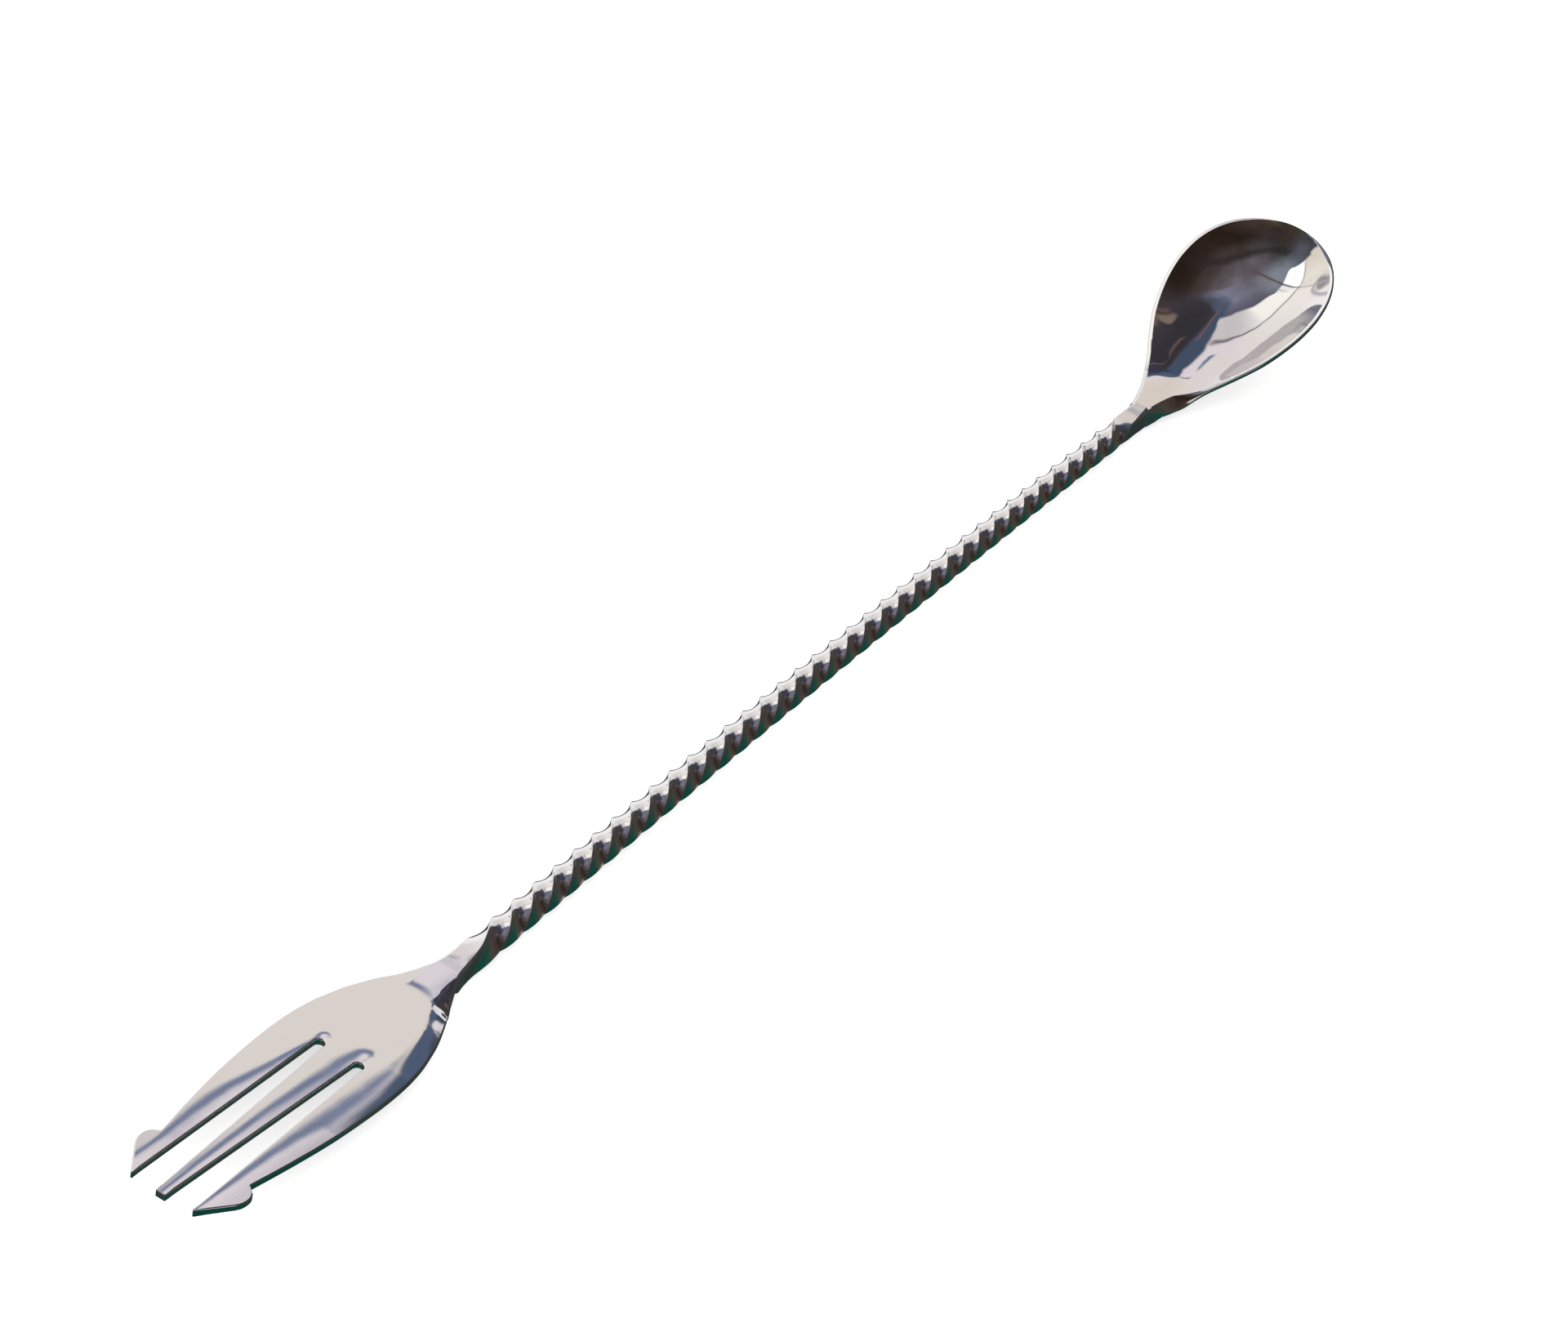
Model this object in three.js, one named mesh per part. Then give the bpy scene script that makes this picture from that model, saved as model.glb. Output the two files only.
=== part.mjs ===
// Twisted-stem bar spoon with a three-tine fork at one end and a teardrop bowl at the other.
// Millimetres. +X runs from the fork to the bowl, +Y across, +Z up (the hollow of the bowl
// faces up). The origin is the middle of the footprint, on the plane the spoon rests on.
import * as THREE from "three";

// ---- design frame ---------------------------------------------------------------------
// The design unit is one quarter-turn of the twist; every length below is in that unit.
const QUARTER_TURN = 4.78; // mm
const MID_X = 21.175; // design X of the middle of the object
const FLOOR_Z = -0.5388; // design Z of the resting plane

// ---- stem and weld bands --------------------------------------------------------------
const FORK_WELD = [2.45, 2.7]; // from and to, in X
const BOWL_WELD = [42.3, 42.55];
const ROD_SIDE_FORK = 0.714; // square rod across flats at the fork end (3.4 mm)
const ROD_SIDE_BOWL = 0.686; // the same at the bowl end (3.3 mm)
const ROD_TAPER = [5, 41]; // X range over which the side changes
const ROD_CORNER = 0.075; // corner break of the rod
const BOW = 0.218; // rise of the stem's middle over its ends (1.0 mm)
const BOW_CENTRE = 24.12;
const BOW_HALF_LENGTH = 17;
// the twist starts and ends about these X values, each blended over the spread either side
const TWIST_START = { centre: 3.92, spread: 1.2 };
const TWIST_END = { centre: 40.92, spread: 0.7 };
const STATIONS_PER_QUARTER = 6;
const SQUARE_STEM = [3.4, 41.6]; // X range in which the section is square
// X, half-width of the section; only used outside SQUARE_STEM
const STEM_END_HALF_WIDTH = [
  [FORK_WELD[0], 0.47],
  [FORK_WELD[1], 0.42],
  [SQUARE_STEM[0], ROD_SIDE_FORK / 2],
  [SQUARE_STEM[1], ROD_SIDE_BOWL / 2],
  [BOWL_WELD[0], 0.405],
  [BOWL_WELD[1], 0.43],
];

// ---- fork -----------------------------------------------------------------------------
const FORK_SHEET = 0.25; // plate thickness (1.2 mm)
const FORK_EDGE = 0.05; // broken edge of the plate
const PLATE_TOP_Z = 0.217; // top of the plate at design X 0
const PLATE_SLOPE = -0.03226; // the plate falls towards the stem
const PLATE_END = 1.1; // where the plate's top meets the neck
const NECK_START = 0.8; // where the edge break starts to grow
const NECK_STRIPS_START = 0.85; // beyond this X the faces are strips straight across
const UNDERSIDE_DROP = [0.9, 2.35]; // X range in which the underside drops to the rod's
const SIDE_DEEPENING = [1.85, 2.45]; // X range in which the side wall deepens
// X, inset of the top face from the outline, drop from the top face to the outline
const TOP_BEVEL = [
  [NECK_START, FORK_EDGE, FORK_EDGE],
  [1.2, 0.3, 0.09],
  [1.6, 0.38, 0.14],
  [2.0, 0.22, 0.12],
  [FORK_WELD[0], ROD_CORNER, ROD_CORNER],
];
// X, height of the outline's lower edge over the underside
const LOW_BEVEL = [
  [NECK_START, FORK_EDGE],
  [FORK_WELD[0], ROD_CORNER],
];
// outer edge from the weld to the barb: X, half-width
const FORK_SIDE = [
  [2.45, 0.47], [2.3, 0.51], [2.08, 0.6], [1.81, 0.71], [1.57, 0.825], [1.31, 0.95],
  [1.07, 1.08], [0.81, 1.205], [0.57, 1.32], [0.3, 1.44], [0.06, 1.545], [-0.3, 1.68],
  [-0.7, 1.8], [-1.3, 1.955], [-1.99, 2.06], [-2.67, 2.105], [-3.4, 2.108], [-4.1, 2.08],
  [-4.9, 2.03], [-5.6, 1.965], [-6.2, 1.89], [-6.9, 1.79], [-7.54, 1.69], [-8.1, 1.585],
  [-8.4, 1.525], [-8.45, 1.61], [-8.56, 1.755], [-8.72, 1.84], [-8.92, 1.855],
  [-9.1, 1.82], [-9.26, 1.74],
];
const OUTER_TIP = [-10.28, 1.03]; // tip of an outer tine: X, Y
const CENTRE_TIP = [-10.28, 0.165]; // corner of the centre tine's blunt tip: X, Y
const SLOT_END = -2.47; // X of the slots' closed ends
const SLOT_Y = { inner: 0.52, outer: 0.855 }; // a slot's edges at its closed end
const SLOT_RADIUS = 0.16;
const SLOT_CORNER_STEPS = 4;
const SLOT_EDGE_STATIONS = [-7.5, -5]; // X of the extra points along a slot's edges
const MIN_MITRE = 0.28; // limits the inset's reach at sharp corners

// ---- bowl -----------------------------------------------------------------------------
const RIM_SLOPE = 0.41; // the rim plane climbs towards the tip (22.3 degrees)
const RIM_X = 38;
const RIM_Z = -2.533; // height of the rim plane at RIM_X
const RIM_BEND = 0.8; // the neck bends into the rim plane over twice this length
const BOWL_SHEET = 0.2; // 1.0 mm
const BOWL_DEPTH = 1.15; // 5.5 mm
const BOWL_HALF_WIDTH = 2.895; // greatest half-width (13.8 mm)
const CUP_POWER = 2.2; // section of the hollow: a little fuller than a parabola
// how the hollow deepens with the width, on the neck's side and on the tip's
const DEPTH_POWER = { neck: 1.9, tip: 2 };
const DEPTH_POWER_BLEND = [48.2, 50]; // X range between the two powers
const HOLLOW_START = [43.3, 45.4]; // X range in which the hollow fades in
const NECK_THINNING = [42.7, 46.4]; // X range in which the neck thins to the sheet
const KEEL_FADE = [0.75, 1.35]; // where the keel dies out, in keel half-widths
const KEEL_HALF_WIDTH = [[BOWL_WELD[1], 0.6], [43.1, 0.38], [46.6, 0.34]]; // X, half-width
const BOWL_CORNER = [[BOWL_WELD[1], ROD_CORNER], [44, 0.05]]; // X, edge break
const MAX_CORNER_SHARE = 0.4; // largest edge break as a share of the half-width
const MIN_RIM_WALL = 0.03; // least height of the rim's flat edge
const BOWL_SPANS = 12; // divisions across the bowl
// X, half-width, from the weld to the blunt tip
const BOWL_SIDE = [
  [42.55, 0.43], [42.88, 0.47], [43.39, 0.6], [43.96, 0.79], [44.42, 0.975],
  [44.83, 1.17], [45.14, 1.315], [45.47, 1.485], [45.82, 1.685], [46.22, 1.915],
  [46.6, 2.12], [46.99, 2.31], [47.4, 2.47], [47.83, 2.612], [48.31, 2.741],
  [48.87, 2.845], [49.5, BOWL_HALF_WIDTH], [50.21, 2.841], [50.6, 2.75], [50.955, 2.621],
  [51.307, 2.434], [51.631, 2.194], [51.914, 1.904], [52.148, 1.571], [52.33, 1.205],
  [52.457, 0.816], [52.533, 0.411], [52.552, 0.2],
];

// ---- helpers --------------------------------------------------------------------------
const { clamp, lerp, mapLinear, smoothstep } = THREE.MathUtils;
const ease = ([from, to], x) => smoothstep(x, from, to);

// reads a column of a table of rising X, straight between rows and constant past its ends
function along(table, x, column = 1) {
  if (x <= table[0][0]) return table[0][column];
  for (let i = 1; i < table.length; i++) {
    const before = table[i - 1];
    const after = table[i];
    if (x <= after[0]) return mapLinear(x, before[0], after[0], before[column], after[column]);
  }
  return table[table.length - 1][column];
}

// design frame to millimetres
const place = (x, y, z) => [
  (x - MID_X) * QUARTER_TURN,
  y * QUARTER_TURN,
  (z - FLOOR_Z) * QUARTER_TURN,
];

function solid(points, triangles) {
  const geometry = new THREE.BufferGeometry();
  geometry.setAttribute("position", new THREE.Float32BufferAttribute(points.flat(), 3));
  geometry.setIndex(triangles.flat());
  geometry.computeVertexNormals();
  return geometry;
}

// skins a row of equal closed rings and closes both ends;
// rings run anticlockwise seen from +X
function loft(rings) {
  const count = rings[0].length;
  const triangles = [];
  for (let i = 0; i + 1 < rings.length; i++) {
    const ring = i * count;
    const next = ring + count;
    for (let j = 0; j < count; j++) {
      const k = (j + 1) % count;
      triangles.push([ring + j, ring + k, next + k], [ring + j, next + k, next + j]);
    }
  }
  const cap = (index, flip) => {
    const offset = index * count;
    const flat = rings[index].map(([, y, z]) => new THREE.Vector2(y, z));
    for (const face of THREE.ShapeUtils.triangulateShape(flat, [])) {
      const [a, b, c] = face.map((corner) => offset + corner);
      triangles.push(flip ? [a, c, b] : [a, b, c]);
    }
  };
  cap(0, true);
  cap(rings.length - 1, false);
  return solid(rings.flat(), triangles);
}

// ---- rod: twisted stem and weld bands -------------------------------------------------
const rodZ = (x) => BOW * (1 - ((x - BOW_CENTRE) / BOW_HALF_LENGTH) ** 2);
const rodHalf = (x) =>
  along([[ROD_TAPER[0], ROD_SIDE_FORK / 2], [ROD_TAPER[1], ROD_SIDE_BOWL / 2]], x);
const rodHalfWidth = (x) =>
  x < SQUARE_STEM[0] || x > SQUARE_STEM[1] ? along(STEM_END_HALF_WIDTH, x) : rodHalf(x);

// length past the centre, blended in from 0 over the spread either side
function lengthPast({ centre, spread }, x) {
  if (x <= centre - spread) return 0;
  if (x >= centre + spread) return x - centre;
  return (x - centre + spread) ** 2 / (4 * spread);
}
const twistAngle = (x) =>
  (-Math.PI / 2) * (lengthPast(TWIST_START, x) - lengthPast(TWIST_END, x));

// a rectangle with broken corners, turned about the centre line
function rodRing(x) {
  const width = rodHalfWidth(x);
  const height = rodHalf(x);
  const flatY = width - ROD_CORNER;
  const flatZ = height - ROD_CORNER;
  const cos = Math.cos(twistAngle(x));
  const sin = Math.sin(twistAngle(x));
  const corners = [
    [width, flatZ], [flatY, height], [-flatY, height], [-width, flatZ],
    [-width, -flatZ], [-flatY, -height], [flatY, -height], [width, -flatZ],
  ];
  return corners.map(([y, z]) => place(x, y * cos - z * sin, rodZ(x) + y * sin + z * cos));
}

const weldBand = (range) => loft(range.map(rodRing));

function twistedStem() {
  const start = FORK_WELD[1];
  const length = BOWL_WELD[0] - start;
  const steps = Math.round(length * STATIONS_PER_QUARTER);
  const rings = [];
  for (let i = 0; i <= steps; i++) rings.push(rodRing(start + (length * i) / steps));
  return loft(rings);
}

// ---- fork head ------------------------------------------------------------------------
const forkRodHalf = rodHalf(FORK_WELD[0]);
const plateTop = (x) => PLATE_TOP_Z + PLATE_SLOPE * x;
function forkTop(x) {
  if (x <= PLATE_END) return plateTop(x);
  const weldTop = rodZ(FORK_WELD[0]) + forkRodHalf;
  return mapLinear(x, PLATE_END, FORK_WELD[0], plateTop(PLATE_END), weldTop);
}
const forkBottom = (x) =>
  forkTop(x) - lerp(FORK_SHEET, 2 * forkRodHalf, ease(UNDERSIDE_DROP, x));
const topInset = (x) => along(TOP_BEVEL, x, 1);
const highEdge = (x) => forkTop(x) - along(TOP_BEVEL, x, 2);
// the side keeps the plate's thickness until the neck takes the rod's full height
function lowEdge(x) {
  const thin = highEdge(x) - FORK_SHEET + 2 * FORK_EDGE;
  const full = forkBottom(x) + along(LOW_BEVEL, x);
  return lerp(thin, full, ease(SIDE_DEEPENING, x));
}

// from the weld's +Y corner round the tines to its -Y corner, with the inside on the left
function forkOutline() {
  const cornerX = SLOT_END - SLOT_RADIUS;
  const slotEdge = (tip, endY) => (x) => [x, along([tip, [cornerX, endY]], x)];
  const slotCorner = (centreY, startAngle) =>
    Array.from({ length: SLOT_CORNER_STEPS + 1 }, (_, i) => {
      const angle = startAngle - ((i / SLOT_CORNER_STEPS) * Math.PI) / 2;
      return [cornerX + SLOT_RADIUS * Math.cos(angle), centreY + SLOT_RADIUS * Math.sin(angle)];
    });
  const half = [
    ...FORK_SIDE,
    OUTER_TIP,
    ...SLOT_EDGE_STATIONS.map(slotEdge(OUTER_TIP, SLOT_Y.outer)),
    ...slotCorner(SLOT_Y.outer - SLOT_RADIUS, Math.PI / 2),
    ...slotCorner(SLOT_Y.inner + SLOT_RADIUS, 0),
    ...[...SLOT_EDGE_STATIONS].reverse().map(slotEdge(CENTRE_TIP, SLOT_Y.inner)),
    CENTRE_TIP,
  ];
  const mirrored = half.map(([x, y]) => [x, -y]).reverse();
  return [...half, ...mirrored].map(([x, y]) => new THREE.Vector2(x, y));
}

// the outline drawn in: straight across on the neck, square to the edge elsewhere
function insetOutline(outline) {
  const leftOf = (from, to) => {
    const along = to.clone().sub(from).normalize();
    return new THREE.Vector2(-along.y, along.x);
  };
  return outline.map((point, i) => {
    const { x, y } = point;
    if (x > NECK_START) return new THREE.Vector2(x, y - Math.sign(y) * topInset(x));
    const before = leftOf(outline[i - 1], point);
    const normal = leftOf(point, outline[i + 1]).add(before).normalize();
    const reach = topInset(x) / Math.max(MIN_MITRE, normal.dot(before));
    return point.clone().addScaledVector(normal, reach);
  });
}

function forkHead() {
  const outline = forkOutline();
  const inset = insetOutline(outline);
  const count = outline.length;
  const last = count - 1;
  const layer = (loop, height) => loop.map(({ x, y }) => place(x, y, height(x)));
  const layers = [
    layer(inset, forkTop),
    layer(outline, highEdge),
    layer(outline, lowEdge),
    layer(inset, forkBottom),
  ];
  const bottom = 3 * count; // index of the bottom layer's first point
  const triangles = [];

  // edge walls between neighbouring layers
  for (let k = 0; k < 3; k++)
    for (let i = 0; i < last; i++) {
      const upper = k * count + i;
      const lower = upper + count;
      triangles.push([upper, lower, lower + 1], [upper, lower + 1, upper + 1]);
    }

  // top and bottom: straight strips across the neck, then the flat plate
  const face = (a, b, c) => triangles.push([a, b, c], [bottom + a, bottom + c, bottom + b]);
  const start = outline.findIndex(({ x }) => x < NECK_STRIPS_START);
  for (let i = 0; i < start; i++) {
    face(i, i + 1, last - 1 - i);
    face(i, last - 1 - i, last - i);
  }
  const plate = inset.slice(start, count - start);
  for (const [a, b, c] of THREE.ShapeUtils.triangulateShape(plate, []))
    face(a + start, b + start, c + start);

  // the end against the weld
  const column = [0, count, 2 * count, bottom];
  const ring = [...column, ...column.map((index) => index + last).reverse()];
  for (let i = 1; i + 1 < ring.length; i++) triangles.push([ring[0], ring[i + 1], ring[i]]);
  return solid(layers.flat(), triangles);
}

// ---- spoon bowl -----------------------------------------------------------------------
const bowlRodHalf = rodHalf(BOWL_WELD[1]);

// height and tilt of the neck's top and the rim plane, with the bend between them
function spine(x) {
  const neckTop = rodZ(BOWL_WELD[1]) + bowlRodHalf;
  const bendX = RIM_X + (neckTop - RIM_Z) / RIM_SLOPE; // where the neck's top meets the rim
  const bent = clamp(x - (bendX - RIM_BEND), 0, 2 * RIM_BEND);
  const beyond = Math.max(0, x - (bendX + RIM_BEND));
  return {
    z: neckTop + (RIM_SLOPE * bent ** 2) / (4 * RIM_BEND) + RIM_SLOPE * beyond,
    tilt: Math.atan((RIM_SLOPE * bent) / (2 * RIM_BEND)),
  };
}

// section of the bowl; heights are measured square to the spine, 0 at the rim
function bowlRing([x, half]) {
  const { z, tilt } = spine(x);
  const corner = Math.min(along(BOWL_CORNER, x), half * MAX_CORNER_SHARE);
  const power = lerp(DEPTH_POWER.neck, DEPTH_POWER.tip, ease(DEPTH_POWER_BLEND, x));
  const depth = BOWL_DEPTH * (half / BOWL_HALF_WIDTH) ** power * ease(HOLLOW_START, x);
  const extra = (2 * bowlRodHalf - BOWL_SHEET) * (1 - ease(NECK_THINNING, x));
  const keelHalf = along(KEEL_HALF_WIDTH, x);

  const hollow = (y) => -depth * (1 - (Math.abs(y) / half) ** CUP_POWER);
  const under = (y) => {
    const slope = (depth * CUP_POWER * (Math.abs(y) / half) ** (CUP_POWER - 1)) / half;
    const sheet = BOWL_SHEET * Math.sqrt(1 + slope ** 2);
    // the section against the weld is full depth right across
    const keel = x <= BOWL_WELD[1] ? 1 : 1 - ease(KEEL_FADE, Math.abs(y) / keelHalf);
    return hollow(y) - sheet - extra * keel;
  };

  const at = (y, height) =>
    place(x - height * Math.sin(tilt), y, z + height * Math.cos(tilt));
  const row = [];
  for (let j = 0; j <= BOWL_SPANS; j++)
    row.push(((half - corner) * (2 * j - BOWL_SPANS)) / BOWL_SPANS);
  const low = Math.min(under(half) + corner, -corner - MIN_RIM_WALL);
  return [
    at(half, -corner),
    ...[...row].reverse().map((y) => at(y, hollow(y))),
    at(-half, -corner),
    at(-half, low),
    ...row.map((y) => at(y, under(y))),
    at(half, low),
  ];
}

const spoonBowl = () => loft(BOWL_SIDE.map(bowlRing));

// ---- assembly -------------------------------------------------------------------------
const WELD_FINISH = { color: 0xcfcbc8, roughness: 0.2 };
const root = new THREE.Group();
function add(name, geometry, finish) {
  const material = new THREE.MeshStandardMaterial({ ...finish, metalness: 1 });
  const mesh = new THREE.Mesh(geometry, material);
  mesh.name = name;
  root.add(mesh);
}
add("fork_head", forkHead(), { color: 0xd9d5d2, roughness: 0.12 });
add("fork_weld", weldBand(FORK_WELD), WELD_FINISH);
add("twisted_stem", twistedStem(), { color: 0xd2cfce, roughness: 0.1 });
add("bowl_weld", weldBand(BOWL_WELD), WELD_FINISH);
add("spoon_bowl", spoonBowl(), { color: 0xd9d6d4, roughness: 0.06 });
export default root;
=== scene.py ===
# Twisted-stem bar spoon: fork, weld band, twisted square rod, weld band, bowl.
# It lies along X over a floor at z = 0, fork towards -X, bowl towards +X, Z up.
# Shapes are drawn in units of QUARTER, one quarter-turn of the twist, and place() turns
# them into metres.
import math
import bpy
import numpy as np
from mathutils import Vector, Matrix
from mathutils.geometry import delaunay_2d_cdt


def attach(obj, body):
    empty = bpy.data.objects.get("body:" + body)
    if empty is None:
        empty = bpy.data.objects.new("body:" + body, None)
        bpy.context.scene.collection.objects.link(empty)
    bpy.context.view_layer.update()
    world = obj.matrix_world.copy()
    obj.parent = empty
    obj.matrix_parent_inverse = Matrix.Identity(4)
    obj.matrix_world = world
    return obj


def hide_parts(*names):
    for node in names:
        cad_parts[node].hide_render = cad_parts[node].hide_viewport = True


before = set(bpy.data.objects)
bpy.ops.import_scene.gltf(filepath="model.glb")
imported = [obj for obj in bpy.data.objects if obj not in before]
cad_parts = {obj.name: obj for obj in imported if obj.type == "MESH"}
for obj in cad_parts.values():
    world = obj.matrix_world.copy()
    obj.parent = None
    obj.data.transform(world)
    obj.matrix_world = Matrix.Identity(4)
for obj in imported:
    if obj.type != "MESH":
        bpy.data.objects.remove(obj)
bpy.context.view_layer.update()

QUARTER = 4.78e-3  # metres
X_MID, Z_FLOOR = 21.175, -0.5388  # drawing position of the origin
FORK_WELD, BOWL_WELD = (2.45, 2.7), (42.3, 42.55)  # x span of each weld band
FORK_END, BOWL_START = FORK_WELD[0], BOWL_WELD[1]


# ---- curves and vectors ----------------------------------------------------------------
def place(x, y, z):
    """Drawing units to metres."""
    x, y, z = np.broadcast_arrays(x, y, z)
    return np.stack([(x - X_MID) * QUARTER, y * QUARTER, (z - Z_FLOOR) * QUARTER], axis=-1)


def unit(v):
    return v / np.maximum(np.linalg.norm(v, axis=-1, keepdims=True), 1e-12)


def ease(start, end, x):
    """Smooth 0..1 as x goes from start to end."""
    t = np.clip((np.asarray(x, float) - start) / (end - start), 0, 1)
    return t * t * (3 - 2 * t)


def monotone(table):
    """Smooth curve through a table of (x, y), without overshoot."""
    x, y = np.array(table, float).T
    gap = np.diff(x)
    rise = np.diff(y) / gap
    slope = np.empty(len(x))
    slope[0], slope[-1] = rise[0], rise[-1]
    w1, w2 = 2 * gap[1:] + gap[:-1], gap[1:] + 2 * gap[:-1]
    same = rise[:-1] * rise[1:] > 0
    before, after = np.where(same, rise[:-1], 1), np.where(same, rise[1:], 1)
    slope[1:-1] = np.where(same, (w1 + w2) / (w1 / before + w2 / after), 0)

    def curve(v):
        v = np.clip(np.asarray(v, float), x[0], x[-1])
        i = np.clip(np.searchsorted(x, v) - 1, 0, len(gap) - 1)
        s = (v - x[i]) / gap[i]
        return (
            y[i] * (1 + 2 * s) * (1 - s) ** 2
            + slope[i] * gap[i] * s * (1 - s) ** 2
            + y[i + 1] * s * s * (3 - 2 * s)
            + slope[i + 1] * gap[i] * s * s * (s - 1)
        )

    return curve


def spline(points, step):
    """Centripetal curve through points, sampled about every step."""
    p = np.array(points, float)
    p = np.vstack([2 * p[0] - p[1], p, 2 * p[-1] - p[-2]])
    out = []
    for i in range(1, len(p) - 2):
        a, b, c, d = p[i - 1 : i + 3]
        t0 = 0
        t1 = t0 + np.linalg.norm(b - a) ** 0.5
        t2 = t1 + np.linalg.norm(c - b) ** 0.5
        t3 = t2 + np.linalg.norm(d - c) ** 0.5
        count = max(2, int(math.ceil(np.linalg.norm(c - b) / step)))
        for t in np.linspace(t1, t2, count, endpoint=False):
            a1 = (t1 - t) / (t1 - t0) * a + (t - t0) / (t1 - t0) * b
            a2 = (t2 - t) / (t2 - t1) * b + (t - t1) / (t2 - t1) * c
            a3 = (t3 - t) / (t3 - t2) * c + (t - t2) / (t3 - t2) * d
            b1 = (t2 - t) / (t2 - t0) * a1 + (t - t0) / (t2 - t0) * a2
            b2 = (t3 - t) / (t3 - t1) * a2 + (t - t1) / (t3 - t1) * a3
            out.append((t2 - t) / (t2 - t1) * b1 + (t - t1) / (t2 - t1) * b2)
    out.append(p[-2])
    return [tuple(q) for q in out]


def line(a, b, step):
    """Points from a towards b, without b."""
    n = max(1, int(math.ceil(math.dist(a, b) / step)))
    return [(a[0] + (b[0] - a[0]) * i / n, a[1] + (b[1] - a[1]) * i / n) for i in range(n)]


def corner(a, b, c, radius, steps=6):
    """Arc that rounds corner b of the path a, b, c."""
    a, b, c = map(np.array, (a, b, c))
    u, v = unit(a - b), unit(c - b)
    angle = math.acos(float(np.clip(u @ v, -1, 1)))
    cut = radius / math.tan(angle / 2)
    centre = b + unit(u + v) * (radius / math.sin(angle / 2))
    first, last = (math.atan2(*(b + w * cut - centre)[::-1]) for w in (u, v))
    sweep = (last - first + math.pi) % (2 * math.pi) - math.pi
    angles = [first + sweep * i / steps for i in range(steps + 1)]
    return [(centre[0] + radius * math.cos(t), centre[1] + radius * math.sin(t)) for t in angles]


# ---- mesh helpers ----------------------------------------------------------------------
def make(name, verts, faces, normals, flat_faces):
    """Mesh object, smooth with the given vertex normals except on flat_faces."""
    mesh = bpy.data.meshes.new(name)
    points = [tuple(map(float, v)) for v in verts]
    mesh.from_pydata(points, [], [tuple(map(int, f)) for f in faces])
    mesh.update()
    smooth = [True] * len(mesh.polygons)
    for i in flat_faces:
        smooth[i] = False
    mesh.polygons.foreach_set("use_smooth", smooth)
    corners = np.zeros(len(mesh.loops), int)
    mesh.loops.foreach_get("vertex_index", corners)
    corner_normals = np.array(normals, float)[corners]
    for i in flat_faces:
        face = mesh.polygons[i]
        for loop in face.loop_indices:
            corner_normals[loop] = face.normal
    mesh.normals_split_custom_set([tuple(v) for v in corner_normals])
    ob = bpy.data.objects.new(name, mesh)
    bpy.context.scene.collection.objects.link(ob)
    return ob


def skin(rings, normals):
    """Quads over rings (anticlockwise seen from +X, stations going +X), both ends capped."""
    n, m = rings.shape[:2]
    faces = []
    for i in range(n - 1):
        for j in range(m):
            k = (j + 1) % m
            faces.append((i * m + j, i * m + k, (i + 1) * m + k, (i + 1) * m + j))
    caps = [len(faces), len(faces) + 1]
    faces.append(tuple(reversed(range(m))))
    faces.append(tuple((n - 1) * m + j for j in range(m)))
    return rings.reshape(-1, 3), faces, normals.reshape(-1, 3), caps


def face_outward(rings, normals):
    """Flip all the normals if they point into the rings."""
    middle = len(rings) // 2
    outward = normals[middle, 0] @ (rings[middle, 0] - rings[middle].mean(0))
    return normals if outward > 0 else -normals


# ---- rod and weld bands ----------------------------------------------------------------
ROD_SIDE_FORK, ROD_SIDE_BOWL = 0.714, 0.686  # full height at x = 5 and x = 41
BOW, BOW_CENTRE, BOW_HALF = 0.218, 24.12, 17.0  # the centre line's rise, its middle and half span
TWIST_START, TWIST_START_SPREAD = 3.92, 1.2
TWIST_END, TWIST_END_SPREAD = 40.92, 0.7
STATIONS_PER_QUARTER = 22
WELD_STATIONS = 5
TWIST_STATIONS = int(round((BOWL_WELD[0] - FORK_WELD[1]) * STATIONS_PER_QUARTER)) + 1

# x, half the width across Y before twisting
rod_half_width = monotone([
    (2.3, 0.5), (2.45, 0.47), (2.7, 0.42), (3.4, 0.357), (4, 0.357), (41, 0.343),
    (41.6, 0.343), (42.3, 0.405), (42.55, 0.43), (42.7, 0.448),
])
# x, how far each ridge is from even spacing: the twist is a little uneven
uneven = monotone([
    (2, 0), (5, 0), (7, 0.06), (12, 0), (17, 0), (22, -0.04), (25, 0.02), (31, 0.08),
    (36, -0.02), (41, 0), (43, 0),
])
# ridges are sharp along the twist, softened where the rod was ground flush with its ends
ROUND_X = [2.45, 3.1, 3.9, 41.3, 42.3, 42.55]
ROUND_RADIUS = [0.12, 0.1, 0.045, 0.045, 0.13, 0.16]


def rod_z(x):
    return BOW * (1 - ((x - BOW_CENTRE) / BOW_HALF) ** 2)


def rod_half(x):
    return np.interp(x, [5, 41], [ROD_SIDE_FORK / 2, ROD_SIDE_BOWL / 2])


def rod_top(x):
    return rod_z(x) + rod_half(x)


def rod_round(x):
    return float(np.interp(x, ROUND_X, ROUND_RADIUS))


def eased_ramp(x, start, spread):
    """0 before start, x - start after it, with a soft bend within spread of start."""
    bend = (x - start + spread) ** 2 / (4 * spread)
    return np.where(x <= start - spread, 0, np.where(x >= start + spread, x - start, bend))


def turn(x):
    """Angle of the rod about X."""
    x = x - uneven(x)
    begun = eased_ramp(x, TWIST_START, TWIST_START_SPREAD)
    return (-math.pi / 2) * (begun - eased_ramp(x, TWIST_END, TWIST_END_SPREAD))


def rotate(y, z, angle):
    cos, sin = math.cos(angle), math.sin(angle)
    return y * cos - z * sin, y * sin + z * cos


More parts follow.
